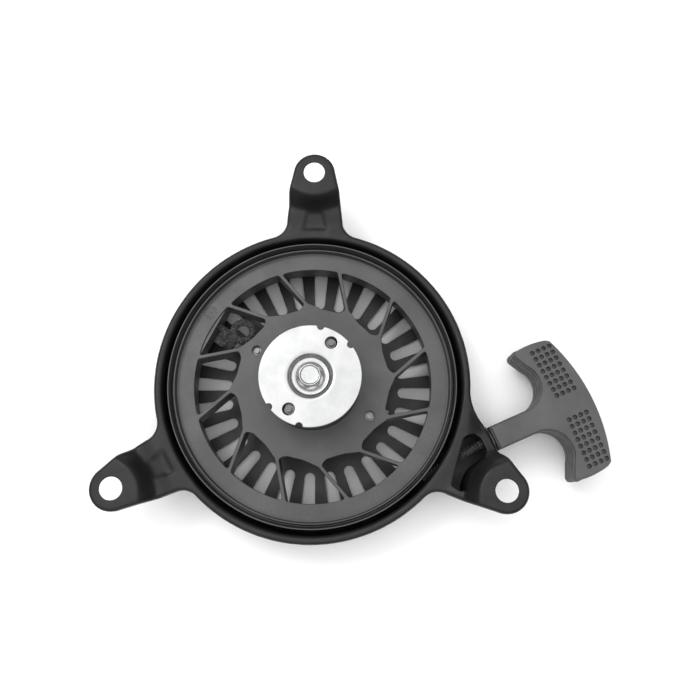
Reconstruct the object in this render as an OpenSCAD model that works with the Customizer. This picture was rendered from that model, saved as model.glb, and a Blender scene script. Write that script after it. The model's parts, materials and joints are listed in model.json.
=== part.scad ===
// Rope-pull recoil starter for a vertical-shaft engine.
// Millimetres, +Z towards the engine. The origin is on the spin axis, in the plane of the mounting pads.

/* [Mounting ears] */
// Diameter of the circle through the three mounting holes
mount_pcd = 220; // [216:1:226]
// Diameter of a mounting hole
mount_hole_d = 11.2; // [9:0.1:12]
// Radius of the rounded tip of an ear
ear_tip_r = 11; // [10:0.5:12]
// Half width of an ear's arm where it meets its pad
arm_half_w = 13.4; // [12.5:0.1:14.5]
// Radius of the hollow corner between an arm and the rim
arm_fillet_r = 9.5; // [7:0.5:12]
// Drop from the mounting pads to the arms
pad_drop = 7.4; // [6:0.1:9]
// Radius of the raised pad around each hole
pad_r = 15.4; // [14:0.1:16]

/* [Pressed steel housing] */
// Thickness of the steel sheet
sheet = 1.6; // [1.2:0.1:1.8]
// Outer radius of the rolled rim
rim_r = 81.5; // [81:0.1:83]
// Inner radius of the bowl
bowl_r = 77.2; // [76.8:0.1:77.6]
// Depth from the mounting pads to the top of the rolled rim
rim_drop = 11.85; // [11:0.05:13]
// Depth from the mounting pads to the inside of the grille
grille_drop = 39; // [38:0.5:44]
// Number of cooling slots
slot_count = 28; // [20:1:30]
// Radius at the inner end of the slots
slot_in_r = 45.5; // [44:0.5:50]
// Radius at the outer end of the slots
slot_out_r = 69.5; // [64:0.5:70]
// Angle that each slot spans
slot_span = 6.9; // [5:0.1:7.2]

/* [Rope] */
// Diameter of the starter rope
rope_d = 4; // [3.5:0.1:4.2]
// Direction in which the rope leaves, turned from +X towards +Y
rope_dir = 24; // [22:1:26]
// Distance from the spin axis to the line of the rope outside the housing
rope_offset = 64; // [63:0.5:65]
// Depth from the mounting pads to the rope where it leaves
rope_drop = 22.5; // [22:0.1:23]

/* [Pulley] */
// Outer radius of the lip on the near flange
lip_r = 74.4; // [73.5:0.1:74.8]
// Depth from the mounting pads to the top of the lip
lip_drop = 11.8; // [11:0.1:13]
// Depth from the mounting pads to the near face of the pulley
face_drop = 18.3; // [18:0.1:19]
// Radius of the hub disc
hub_disc_r = 40; // [39:0.1:40.5]
// Inner radius of the rope drum, at the outer edge of the windows
drum_in_r = 61.8; // [61:0.1:62.2]
// Number of slanting spokes
spoke_count = 12; // [10:1:14]
// Width of a spoke
spoke_w = 1.9; // [1.5:0.1:2.5]
// Outer radius of the pawl housing on the hub
pawl_house_r = 24.5; // [24:0.1:24.8]

/* [Drive plate and pawls] */
// Radius of the drive plate
plate_r = 25.7; // [25.4:0.1:26.5]
// Thickness of the drive plate
plate_t = 1.5; // [1.2:0.1:1.6]
// Direction of the plate's first guide hole from +X
guide_ang = 58.5; // [50:0.5:70]
// Angle between a guide hole and each notch beside it
notch_ang = 20.3; // [18:0.1:24]
// Size of the centre screw's hexagon across its flats
screw_af = 11; // [10:0.5:12]

/* [Handle] */
// Thickness of the grip
grip_t = 17; // [15:0.5:17.5]
// Half width of the grip's stem
stem_half_w = 6.4; // [6:0.1:7]
// Radius of the grip's curved outer edge
grip_arc_r = 94; // [92:1:110]

/* [Hidden] */
$fn = 96;
eps = 0.01;

// Finishes
black_steel = [0.10, 0.10, 0.11];
black_nylon = [0.20, 0.20, 0.21];
zinc = [0.82, 0.83, 0.84];
spring_steel = [0.45, 0.46, 0.48];
rope_black = [0.07, 0.07, 0.07];
grip_rubber = [0.24, 0.24, 0.24];

// Housing heights
rim_z = -rim_drop;
floor_z = -grille_drop;
bowl_corner_r = 5;
roll_r = (rim_r - bowl_r) / 2;
roll_c = bowl_r + roll_r;
roll_z = rim_z - roll_r;
lip_len = 3;
hub_r = 32;
hub_rise = 1.5;
hub_flare = 2;

// Arms, in a frame with +Y along the arm
mount_r = mount_pcd / 2;
arm_base_w = 15;
arm_neck_y = 100;
arm_flat_y = 84;
arm_rise_y = 93;
arm_skirt = 6;
rope_arm_extra = 2.7;
pad_foot = 2.2;
swage_depth = 1.2;
swage_y0 = 84.5;
swage_y1 = 93.5;
swage_w0 = 6;
swage_w1 = 3.8;

// Rope outlet, in a frame with +X along the rope and Y = 0 on it
snout_end = 72;
snout_half_w = 8.2;
snout_z0 = -34.6;
snout_top = rim_z - 0.3;
snout_ledge_z = -17.5;
outlet_ear = [64.65, -25];
outlet_ear_r = 17.9;
rope_r = rope_d / 2;
rope_z = -rope_drop;
eyelet_bore_r = rope_r + 0.8;
eyelet_body_r = 5.8;
eyelet_flange_r = 7.4;
rope_split = 66;
rope_run_len = 34;

// Pulley
face_z = -face_drop;
flange_t = 2;
groove_w = 2 * rope_d + 0.4;
groove_z0 = face_z - flange_t - groove_w;
far_z = groove_z0 - flange_t;
drum_t = 2.2;
drum_out_r = drum_in_r + drum_t;
inner_ring_r = 72;
ring_w = 0.9;
inner_ring_z = -14.6;
post_r = 8;
post_fit = 0.05;
boss_r = 11.5;
boss_top = -3.6;
web_t = 2.5;
house_wall = 2.2;
house_floor = -3.4;
house_floor_t = 3.1;
house_top = 1.9;
skirt_z = -35;
spoke_z0 = far_z + 0.4;
spoke_z1 = face_z - 0.4;
spoke_in_ang = 1.8;
spoke_out_ang = 17.8;
spoke_in_r = 39.4;
spoke_out_r = 62.6;
gusset_root_r = 39.2;
gusset_tip_r = 43.4;
knot_ang = 153;
knot_hole_ang = 148;
knot_wall_x = 60;
knot_wall_t = 2.2;
knot_wall_len = 28.8;
knot_place = [52.6, 152.4];
knot_r = 5.4;
loop_place = [47.9, 143.4];
loop_r = 5.1;
keeper_pin_r = 34.4;
keeper_pin_ang = 150;
tab_angs = [-19.5, 54.5];

// Keeper and spring
keeper_r = 37.2;
keeper_bore_r = 12.4;
keeper_t = 0.8;
keeper_top = face_z - web_t - 0.3;
keeper_bottom = -34.6;
spring_z0 = -34.2;
spring_z1 = -22.4;
spring_turns = 6;
spring_t = 0.9;
spring_r0 = 9.6;
spring_r1 = 35.6;

// Pawls
pivot_r = 12.5;
guide_r = 19.5;
guide_hole_r = 2.9;
pawl_pin_r = 1.8;
pawl_pin_z0 = -9;
pawl_pin_z1 = -0.9;
pawl_fit = 0.05;
pawl_eye_r = 3.3;
pawl_eye_cut_r = 4.4;
pawl_z0 = -3.2;
pawl_z1 = 1.3;
pawl_eye_z1 = -1;
pawl_gate = [0, 54];
pawl_blade = [[-3.2, 0.6], [0.8, 17.2], [1.4, 17.6], [4.7, 16.8], [5, 16], [8.9, 2.2], [9.2, 1],
              [7.6, -2.2], [0, -3.3]];
guide_pin_r = 1.5;

// Stack on the spin axis
plate_z = 2.2;
dish_r = 9.2;
dish_rim_r = 10.8;
dish_drop = 3;
notch_r = 1.6;
washer_z = -3.3;
washer_t = 1;
washer_r = 8.8;
screw_r = 3;
screw_tip_z = -17;
screw_fit = 0.05;
screw_flange_r = 7.4;
rivet_r = 2;
rivet_place_r = 11;
post_flange_r = 14.5;
post_flange_t = 2;
post_slot_w = 1.8;
post_slot_x0 = 4.2;

// Grip, in the rope's frame
grip_x0 = 73.4;
grip_apex = 128.8;
grip_z0 = rope_z - grip_t / 2;
finger_c = [95, 18.6];
finger_r = finger_c[1] - stem_half_w;
grip_corner = 21.7;
insert_x = 97;
knot_pocket_len = 14;
knot_pocket_w = 12;
knot_x = 104;
grip_knot_r = 4.6;

function polar(r, a) = [r * cos(a), r * sin(a)];
function arc(c, r, a0, a1, n) = [for (i = [0:n]) c + polar(r, a0 + (a1 - a0) * i / n)];
function flip_x(p) = [for (i = [len(p) - 1:-1:0]) [-p[i][0], p[i][1]]];
function flip_y(p) = [for (i = [len(p) - 1:-1:0]) [p[i][0], -p[i][1]]];

// One side of an arm's outline, from inside the rim to the tip, drawn back by an inset
function arm_side(extra, inset) =
    let (cx = arm_base_w + extra + arm_fillet_r, cy = sqrt(pow(rim_r + arm_fillet_r, 2) - cx * cx))
    concat(
        [[cx * 0.9, 70]],
        arc([cx, cy], arm_fillet_r + inset, 180 + atan2(cy, cx), 180, 6),
        [[arm_half_w + extra - inset, arm_neck_y]],
        arc([0, mount_r], ear_tip_r - inset, 8, 90, 8));

module arm_outline(extra, inset) {
    polygon(concat(arm_side(0, inset), flip_x(arm_side(extra, inset))));
}

// The arm's sheet from the side: a flat, a ramp and a second flat, lowered and thickened as asked
module arm_band(drop, depth) {
    top = [[78, rim_z], [arm_flat_y, rim_z], [arm_rise_y, -pad_drop], [mount_r, -pad_drop]];
    band = concat(
        [for (p = top) p - [0, drop]],
        [for (i = [len(top) - 1:-1:0]) top[i] - [0, drop + depth]]);
    rotate([90, 0, 90])
        translate([0, 0, -40])
            linear_extrude(80)
                polygon(band);
}

module arm_body(extra, inset, drop, depth) {
    intersection() {
        translate([0, 0, -40])
            linear_extrude(40 + eps)
                arm_outline(extra, inset);
        union() {
            arm_band(drop, depth);
            translate([0, mount_r, -pad_drop - depth - drop])
                cylinder(h = depth, r = pad_r + pad_foot - inset);
            translate([0, mount_r, -pad_drop - drop])
                cylinder(h = pad_drop, r1 = pad_r + pad_foot - inset, r2 = pad_r - inset);
        }
    }
}

module swage(grow) {
    translate([0, 0, -40])
        linear_extrude(50)
            polygon([[-swage_w0 - grow, swage_y0 - grow], [swage_w0 + grow, swage_y0 - grow],
                     [swage_w1 + grow, swage_y1 + grow], [-swage_w1 - grow, swage_y1 + grow]]);
}

module arm(extra, ribbed) {
    difference() {
        union() {
            difference() {
                arm_body(extra, 0, 0, arm_skirt);
                arm_body(extra, sheet, sheet, 3 * arm_skirt);
                if (ribbed)
                    intersection() {
                        swage(0);
                        arm_band(-swage_depth, 2 * swage_depth);
                    }
            }
            if (ribbed)
                intersection() {
                    swage(swage_depth);
                    arm_band(swage_depth, sheet);
                }
        }
        translate([0, mount_r, -20])
            cylinder(h = 30, d = mount_hole_d);
        translate([0, 0, -45])
            cylinder(h = 50, r = roll_c);
    }
}

module bowl() {
    rotate_extrude()
        polygon(concat(
            [[0, floor_z + hub_rise], [hub_r, floor_z + hub_rise], [hub_r + hub_flare, floor_z]],
            arc([bowl_r - bowl_corner_r, floor_z + bowl_corner_r], bowl_corner_r, -90, 0, 5),
            arc([roll_c, roll_z], roll_r, 180, 0, 9),
            [[rim_r, roll_z - lip_len], [rim_r - sheet, roll_z - lip_len]],
            arc([roll_c, roll_z], roll_r - sheet, 0, 180, 5),
            arc([bowl_r - bowl_corner_r, floor_z + bowl_corner_r], bowl_corner_r + sheet, 0, -90, 5),
            [[hub_r + hub_flare + sheet / 2, floor_z - sheet],
             [hub_r + sheet / 2, floor_z + hub_rise - sheet], [0, floor_z + hub_rise - sheet]]));
}

module cooling_slot() {
    in_r = slot_in_r * sin(slot_span / 2) * 1.06;
    out_r = slot_out_r * sin(slot_span / 2) * 0.94;
    in_x = slot_in_r + in_r;
    out_x = slot_out_r - out_r;
    translate([0, 0, floor_z - 3])
        linear_extrude(6)
            union() {
                translate([in_x, 0])
                    circle(in_r, $fn = 32);
                translate([out_x, 0])
                    circle(out_r, $fn = 32);
                polygon([[in_x, -in_r], [out_x, -out_r], [out_x, out_r], [in_x, in_r]]);
            }
}

module rope_frame() {
    rotate(rope_dir)
        translate([0, -rope_offset, 0])
            children();
}

// Plan of the drawn pocket that the rope leaves through
module outlet_plan(inset) {
    difference() {
        polygon([[27 + inset, -12 + inset], [40, -19 + inset], [46 + inset, -25],
                 [60, -14], [64, -8.2 + inset], [snout_end - inset, -snout_half_w + inset],
                 [snout_end - inset, snout_half_w - inset], [27 + inset, snout_half_w - inset]]);
        translate(outlet_ear)
            circle(outlet_ear_r - sheet + inset);
    }
}

// Opening in the top of that pocket, through which the rope is seen
module outlet_mouth() {
    difference() {
        polygon([[58.5, 6], [61, 6.6], [65, 6], [67, 3], [67, -4], [64, -6.6], [58, -8], [46, -22],
                 [45, -22.8], [38.8, -17]]);
        translate(outlet_ear)
            circle(outlet_ear_r);
    }
}

module housing() {
    color(black_steel)
        difference() {
            union() {
                bowl();
                arm(0, true);
                rotate(120)
                    arm(0, true);
                rotate(-120)
                    arm(rope_arm_extra, false);
                difference() {
                    rope_frame()
                        translate([0, 0, snout_z0])
                            linear_extrude(snout_top - snout_z0)
                                outlet_plan(0);
                    translate([0, 0, -50])
                        cylinder(h = 60, r = bowl_r + sheet / 2);
                }
            }
            for (i = [0:slot_count - 1])
                rotate(360 / slot_count * (i + 0.82))
                    cooling_slot();
            rope_frame()
                translate([0, 0, snout_z0 + sheet])
                    linear_extrude(snout_ledge_z - snout_z0 - sheet)
                        outlet_plan(sheet);
            difference() {
                rope_frame()
                    translate([0, 0, snout_ledge_z - eps])
                        linear_extrude(snout_top - sheet - snout_ledge_z + eps)
                            outlet_plan(sheet);
                translate([0, 0, -50])
                    cylinder(h = 60, r = rim_r);
            }
            rope_frame()
                translate([0, 0, rim_z - 2 * sheet])
                    linear_extrude(12)
                        outlet_mouth();
            rope_frame()
                translate([snout_end - 6, 0, rope_z])
                    rotate([0, 90, 0])
                        cylinder(h = 10, r = eyelet_body_r + 0.1);
            rivet_places()
                translate([0, 0, -45])
                    cylinder(h = 20, r = rivet_r);
        }
}

module rivet_places() {
    for (a = [30, 150, 270])
        rotate(a)
            translate([rivet_place_r, 0, 0])
                children();
}

module center_post() {
    base_z = floor_z + hub_rise;
    color(spring_steel)
        difference() {
            union() {
                translate([0, 0, base_z])
                    cylinder(h = post_flange_t, r = post_flange_r);
                translate([0, 0, base_z])
                    cylinder(h = washer_z - base_z, r = post_r);
            }
            translate([0, 0, -21])
                cylinder(h = 30, r = screw_r + screw_fit);
            rivet_places()
                translate([0, 0, -45])
                    cylinder(h = 20, r = rivet_r);
            translate([post_slot_x0, -post_slot_w / 2, spring_z0 - 0.3])
                cube([post_r, post_slot_w, spring_z1 - spring_z0 + 0.6]);
        }
}

module post_rivets() {
    color(zinc)
        rivet_places() {
            translate([0, 0, floor_z + hub_rise - sheet])
                cylinder(h = sheet + post_flange_t, r = rivet_r - eps);
            translate([0, 0, floor_z + hub_rise - sheet - 1])
                cylinder(h = 1, r1 = rivet_r + 0.4, r2 = rivet_r + 1.4);
        }
}

module rope_eyelet() {
    bore = eyelet_bore_r;
    half = sheet / 2;
    mid = snout_end - half;
    color([0.16, 0.16, 0.17])
        rope_frame()
            translate([mid, 0, rope_z])
                rotate([0, 90, 0])
                    rotate_extrude()
                        polygon(concat(
                            arc([bore + 2.2, 0], 2.2, 125, 235, 8),
                            [[eyelet_body_r + 0.6, -half - 1.6], [eyelet_flange_r - 0.6, -half - 1.2],
                             [eyelet_flange_r - 0.6, -half], [eyelet_body_r, -half],
                             [eyelet_body_r, half], [eyelet_flange_r, half],
                             [eyelet_flange_r, half + 0.6], [eyelet_body_r, half + 1]]));
}

module rope_run() {
    reach = sqrt(rope_split * rope_split + rope_offset * rope_offset);
    wrap_r = drum_out_r + 1.5 * rope_d + 0.2;
    swing = asin(wrap_r / reach) - atan2(rope_offset, rope_split);
    color(rope_black)
        rope_frame()
            translate([rope_split - 0.4, 0, rope_z])
                rotate(swing)
                    rotate([0, -90, 0])
                        cylinder(h = rope_run_len, r = rope_r, $fn = 24);
}

module rope_lead() {
    color(rope_black)
        rope_frame()
            translate([rope_split, 0, rope_z])
                rotate([0, 90, 0])
                    cylinder(h = knot_x - grip_knot_r - 0.1 - rope_split, r = rope_r, $fn = 24);
}

module center_screw() {
    seat = plate_z + plate_t - dish_drop + 0.05;
    head_r = screw_af / 2 / cos(30);
    color(zinc)
        difference() {
            union() {
                translate([0, 0, seat])
                    cylinder(h = 1.3, r1 = screw_flange_r, r2 = screw_flange_r - 0.4);
                translate([0, 0, seat + 1.2])
                    cylinder(h = 4, r = head_r, $fn = 6);
                translate([0, 0, screw_tip_z])
                    cylinder(h = seat - screw_tip_z + eps, r = screw_r);
            }
            translate([0, 0, seat + 4.4])
                cylinder(h = 2, r1 = 2.6, r2 = 4);
        }
}

module brake_washer() {
    color(spring_steel)
        difference() {
            translate([0, 0, washer_z])
                cylinder(h = washer_t, r = washer_r);
            translate([0, 0, washer_z - 1])
                cylinder(h = 3, r = screw_r + 0.2);
        }
}

module brake_spring() {
    low = washer_z + washer_t + 0.05;
    color(spring_steel)
        rotate_extrude()
            polygon([[8.2, low], [8.2, low + 0.6], [3.9, low + 1.35], [3.9, low + 0.75]]);
}

// Spring strip wound between the post's slot and the keeper's wall
module recoil_spring() {
    steps = spring_turns * 24;
    gap = (spring_r1 - spring_r0) / steps;
    color(spring_steel)
        translate([0, 0, spring_z0])
            linear_extrude(spring_z1 - spring_z0)
                union() {
                    polygon(concat(
                        [for (i = [0:steps]) polar(spring_r0 + gap * i, 15 * i)],
                        [for (i = [steps:-1:0]) polar(spring_r0 + gap * i - spring_t, 15 * i)]));
                    translate([5, -0.45])
                        square([spring_r0 - 5.1, 0.9]);
                }
}

module spoke() {
    p0 = polar(spoke_in_r, spoke_in_ang);
    p1 = polar(spoke_out_r, spoke_out_ang);
    d = p1 - p0;
    translate([p0[0], p0[1], spoke_z0])
        rotate(atan2(d[1], d[0]))
            translate([0, -spoke_w / 2, 0])
                cube([norm(d), spoke_w, spoke_z1 - spoke_z0]);
    translate([0, 0, face_z - web_t])
        linear_extrude(web_t)
            polygon([polar(gusset_root_r, -13), polar(gusset_root_r + 1.1, -8), polar(gusset_tip_r, 4.7),
                     polar(gusset_tip_r, 6.9), polar(gusset_tip_r - 2, 7.6), polar(gusset_root_r, 10)]);
}

// Places the children at each pawl, in a frame with +X from the spin axis through the guide hole
module at_pawl(side) {
    rotate(guide_ang + 180 * side)
        children();
}

module pulley() {
    color(black_nylon)
        difference() {
            union() {
                rotate_extrude()
                    polygon([
                        [post_r + post_fit, keeper_top + 0.3], [boss_r, keeper_top + 0.3],
                        [boss_r, house_floor - house_floor_t],
                        [pawl_house_r - house_wall, house_floor - house_floor_t],
                        [pawl_house_r - house_wall, face_z - web_t], [hub_disc_r - 2, face_z - web_t],
                        [hub_disc_r - 2, skirt_z], [hub_disc_r, skirt_z], [hub_disc_r, face_z],
                        [pawl_house_r, face_z], [pawl_house_r, house_top],
                        [pawl_house_r - house_wall, house_top], [pawl_house_r - house_wall, house_floor],
                        [boss_r, house_floor], [boss_r, boss_top], [post_r + post_fit, boss_top]]);
                rotate_extrude()
                    polygon([
                        [drum_in_r, far_z], [lip_r - 0.9, far_z], [lip_r - 0.9, groove_z0],
                        [drum_out_r, groove_z0], [drum_out_r, face_z - flange_t], [lip_r, face_z - flange_t],
                        [lip_r, -lip_drop], [lip_r - ring_w, -lip_drop],
                        [lip_r - ring_w, face_z], [inner_ring_r, face_z],
                        [inner_ring_r, inner_ring_z], [inner_ring_r - ring_w, inner_ring_z],
                        [inner_ring_r - ring_w, face_z], [drum_in_r, face_z]]);
                for (i = [0:spoke_count - 1])
                    rotate(360 / spoke_count * i)
                        spoke();
                rotate(knot_ang)
                    translate([knot_wall_x, -knot_wall_len / 2, spoke_z0 + 0.3])
                        cube([knot_wall_t, knot_wall_len, spoke_z1 - spoke_z0 - 0.6]);
                for (side = [0, 1])
                    at_pawl(side)
                        translate([pivot_r, 0, pawl_pin_z0 - 0.5])
                            cylinder(h = 4, r = pawl_eye_r + 0.1);
            }
            rotate(knot_hole_ang)
                translate([55, 0, (groove_z0 + face_z - flange_t) / 2])
                    rotate([0, 90, 0])
                        cylinder(h = 12, r = rope_r + 0.4);
            for (side = [0, 1]) {
                rotate(keeper_pin_ang + 180 * side)
                    translate([keeper_pin_r, 0, face_z - 5])
                        cylinder(h = 10, r = 2.5);
                at_pawl(side) {
                    translate([pivot_r, 0, house_floor - 2])
                        cylinder(h = 5, r = pawl_eye_r);
                    translate([pivot_r, 0, pawl_pin_z0])
                        cylinder(h = 10, r = pawl_pin_r);
                    translate([0, 0, house_floor])
                        pawl_gateway();
                }
            }
            for (a = tab_angs)
                rotate(a)
                    translate([hub_disc_r - 3, -2, skirt_z - 1])
                        cube([4, 4, 3.6]);
        }
}

// Sector cut from the pawl housing's wall, where a pawl swings out
module pawl_gateway() {
    far = pawl_house_r + 1;
    near = pawl_house_r - house_wall - 1;
    a0 = pawl_gate[0];
    a1 = pawl_gate[1];
    linear_extrude(house_top - house_floor + 1)
        difference() {
            polygon(concat([[0, 0]], arc([0, 0], far + 1, a0, a1, 4)));
            circle(near);
        }
}

module spring_keeper() {
    color(zinc)
        union() {
            rotate_extrude()
                polygon([
                    [keeper_bore_r, keeper_top - keeper_t], [keeper_r - keeper_t, keeper_top - keeper_t],
                    [keeper_r - keeper_t, keeper_bottom], [keeper_r, keeper_bottom],
                    [keeper_r, keeper_top], [keeper_bore_r, keeper_top]]);
            for (a = tab_angs)
                rotate(a)
                    translate([keeper_r - 0.5, -1.5, keeper_bottom + 0.4])
                        cube([5.6, 3, keeper_t]);
        }
}

module keeper_pins() {
    color(zinc)
        for (side = [0, 1])
            rotate(keeper_pin_ang + 180 * side)
                translate([keeper_pin_r, 0, keeper_top])
                    cylinder(h = 1.9, r = 1.3, $fn = 32);
}

// Rope at rest: two turns on the drum and two more on top of them
module rope_wound() {
    first_r = drum_out_r + rope_r + 0.1;
    mid_z = (groove_z0 + face_z - flange_t) / 2;
    color(rope_black)
        for (layer = [0, 1])
            for (turn = [-1, 1])
                translate([0, 0, mid_z + turn * (rope_r + 0.1)])
                    rotate_extrude()
                        translate([first_r + layer * (rope_d + 0.1), 0])
                            circle(rope_r, $fn = 20);
}

// Knot and loop in the pulley's window, with the rope's way out through the drum
module rope_knot() {
    mid_z = (groove_z0 + face_z - flange_t) / 2;
    color(rope_black)
        union() {
            rotate(knot_hole_ang)
                translate([52, 0, mid_z])
                    rotate([0, 90, 0])
                        cylinder(h = drum_out_r - 52.2, r = rope_r - 0.1, $fn = 24);
            rotate(knot_place[1])
                translate([knot_place[0], 0, mid_z])
                    sphere(knot_r, $fn = 32);
            rotate(loop_place[1])
                translate([loop_place[0], 0, mid_z + 1])
                    rotate_extrude()
                        translate([loop_r, 0])
                            circle(rope_r, $fn = 20);
        }
}

module pawl_pins() {
    color(zinc)
        for (side = [0, 1])
            at_pawl(side)
                translate([pivot_r, 0, pawl_pin_z0])
                    cylinder(h = pawl_pin_z1 - pawl_pin_z0, r = pawl_pin_r);
}

// The pawl's blade, thinner around its pivot to clear the plate's dish, and its guide pin
module pawl(side) {
    color(spring_steel)
        at_pawl(side)
            difference() {
                union() {
                    translate([pivot_r, 0, pawl_z0])
                        linear_extrude(pawl_z1 - pawl_z0)
                            union() {
                                polygon(pawl_blade);
                                circle(pawl_eye_r);
                                translate([guide_r - pivot_r, 0])
                                    circle(guide_pin_r + 0.8);
                            }
                    translate([guide_r, 0, pawl_z1 - eps])
                        cylinder(h = plate_z + plate_t - pawl_z1 - 0.3, r = guide_pin_r, $fn = 32);
                }
                translate([pivot_r, 0, pawl_eye_z1])
                    cylinder(h = 5, r = pawl_eye_cut_r);
                translate([pivot_r, 0, pawl_z0 - 1])
                    cylinder(h = 10, r = pawl_pin_r + pawl_fit);
            }
}

module pawl_a() {
    pawl(0);
}

module pawl_b() {
    pawl(1);
}

module pawl_spring(side) {
    color(spring_steel)
        at_pawl(side)
            translate([pivot_r, 0, house_floor - 1.8])
                difference() {
                    union() {
                        cylinder(h = 1.5, r = 2.8);
                        translate([0.3, 2.1, 0.9])
                            cube([1.5, 0.5, 0.5]);
                    }
                    translate([0, 0, -1])
                        cylinder(h = 4, r = 2.2);
                }
}

module pawl_spring_a() {
    pawl_spring(0);
}

module pawl_spring_b() {
    pawl_spring(1);
}

module drive_plate() {
    top = plate_z + plate_t;
    color(zinc)
        difference() {
            rotate_extrude()
                polygon([
                    [screw_r + 0.2, top - dish_drop], [dish_r, top - dish_drop], [dish_rim_r, top],
                    [plate_r, top], [plate_r, plate_z], [dish_rim_r + 0.6, plate_z],
                    [dish_r + 0.6, plate_z - dish_drop], [screw_r + 0.2, plate_z - dish_drop]]);
            for (side = [0, 1])
                at_pawl(side) {
                    translate([guide_r, 0, -5])
                        cylinder(h = 20, r = guide_hole_r);
                    for (way = [-1, 1])
                        rotate(way * notch_ang)
                            translate([plate_r - 0.3, 0, -5])
                                cylinder(h = 20, r = notch_r, $fn = 32);
                }
        }
}

// One side of the grip's outline, from the stem to the outer corner
function grip_side() = concat(
    [[grip_x0, stem_half_w]],
    arc(finger_c, finger_r, -90, 40, 12),
    arc([102.7, 34.7], 1.9, 200, 90, 5),
    [[112, 36.7]],
    arc([grip_apex - grip_arc_r, 0], grip_arc_r, grip_corner, 0, 8));

module handle_grip() {
    color(grip_rubber)
        rope_frame()
            difference() {
                translate([0, 0, grip_z0])
                    linear_extrude(grip_t)
                        polygon(concat(grip_side(), flip_y(grip_side())));
                translate([grip_x0 - 1, 0, rope_z])
                    rotate([0, 90, 0])
                        cylinder(h = insert_x - grip_x0 + 2, r = rope_r + 0.6);
                translate([insert_x, -knot_pocket_w / 2, grip_z0 - 1])
                    cube([knot_pocket_len, knot_pocket_w, grip_t / 2 + 6]);
            }
}

module handle_insert() {
    color(zinc)
        rope_frame()
            translate([insert_x + 0.1, 0, rope_z])
                rotate([0, 90, 0])
                    difference() {
                        cylinder(h = 1.5, r = 4.8);
                        translate([0, 0, -1])
                            cylinder(h = 4, r = rope_r + 0.2);
                    }
}

module handle_knot() {
    color(rope_black)
        rope_frame()
            union() {
                translate([knot_x, 0, rope_z])
                    sphere(grip_knot_r, $fn = 32);
                translate([knot_x + 2, 2.2, rope_z - 1])
                    rotate([0, 180, 0])
                        cylinder(h = 6, r = rope_r, $fn = 24);
            }
}

housing();
center_post();
post_rivets();
rope_eyelet();
recoil_spring();
brake_washer();
center_screw();
rope_run();
pulley();
spring_keeper();
keeper_pins();
rope_wound();
rope_knot();
pawl_pins();
pawl_spring_a();
pawl_spring_b();
pawl_a();
pawl_b();
drive_plate();
brake_spring();
handle_grip();
handle_insert();
handle_knot();
rope_lead();
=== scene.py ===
"""Recoil starter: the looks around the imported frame. +Z towards the engine, floor under the outer face."""

import json
import math

import bmesh
import bpy
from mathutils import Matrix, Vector
from mathutils.geometry import delaunay_2d_cdt


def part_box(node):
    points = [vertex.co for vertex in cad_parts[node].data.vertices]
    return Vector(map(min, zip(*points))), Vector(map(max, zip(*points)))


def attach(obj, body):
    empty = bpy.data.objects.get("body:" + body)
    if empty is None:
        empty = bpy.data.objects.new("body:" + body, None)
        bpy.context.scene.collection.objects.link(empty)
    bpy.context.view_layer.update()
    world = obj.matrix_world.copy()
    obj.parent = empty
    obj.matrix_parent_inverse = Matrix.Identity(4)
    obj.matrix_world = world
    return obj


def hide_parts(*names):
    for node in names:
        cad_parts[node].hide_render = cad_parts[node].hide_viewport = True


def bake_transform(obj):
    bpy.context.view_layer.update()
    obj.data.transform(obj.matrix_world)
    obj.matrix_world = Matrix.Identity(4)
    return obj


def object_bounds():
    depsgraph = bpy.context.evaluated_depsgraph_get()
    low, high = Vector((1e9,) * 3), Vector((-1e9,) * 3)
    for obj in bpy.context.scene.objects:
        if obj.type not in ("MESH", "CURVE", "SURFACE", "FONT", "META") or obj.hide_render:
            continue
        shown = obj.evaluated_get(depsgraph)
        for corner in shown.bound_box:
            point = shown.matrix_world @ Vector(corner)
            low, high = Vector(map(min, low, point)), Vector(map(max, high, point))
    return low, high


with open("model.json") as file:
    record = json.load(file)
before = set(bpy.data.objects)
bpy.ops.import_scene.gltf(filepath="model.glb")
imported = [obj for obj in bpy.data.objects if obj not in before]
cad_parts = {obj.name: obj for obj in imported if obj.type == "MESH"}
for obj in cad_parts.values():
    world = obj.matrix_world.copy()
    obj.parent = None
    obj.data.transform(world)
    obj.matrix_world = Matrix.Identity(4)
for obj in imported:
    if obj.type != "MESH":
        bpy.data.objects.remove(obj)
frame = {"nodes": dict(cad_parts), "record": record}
cad_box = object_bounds()
scene = bpy.context.scene
MM = 0.001
FLOOR_Z = cad_box[0][2] - 0.0002


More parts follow.
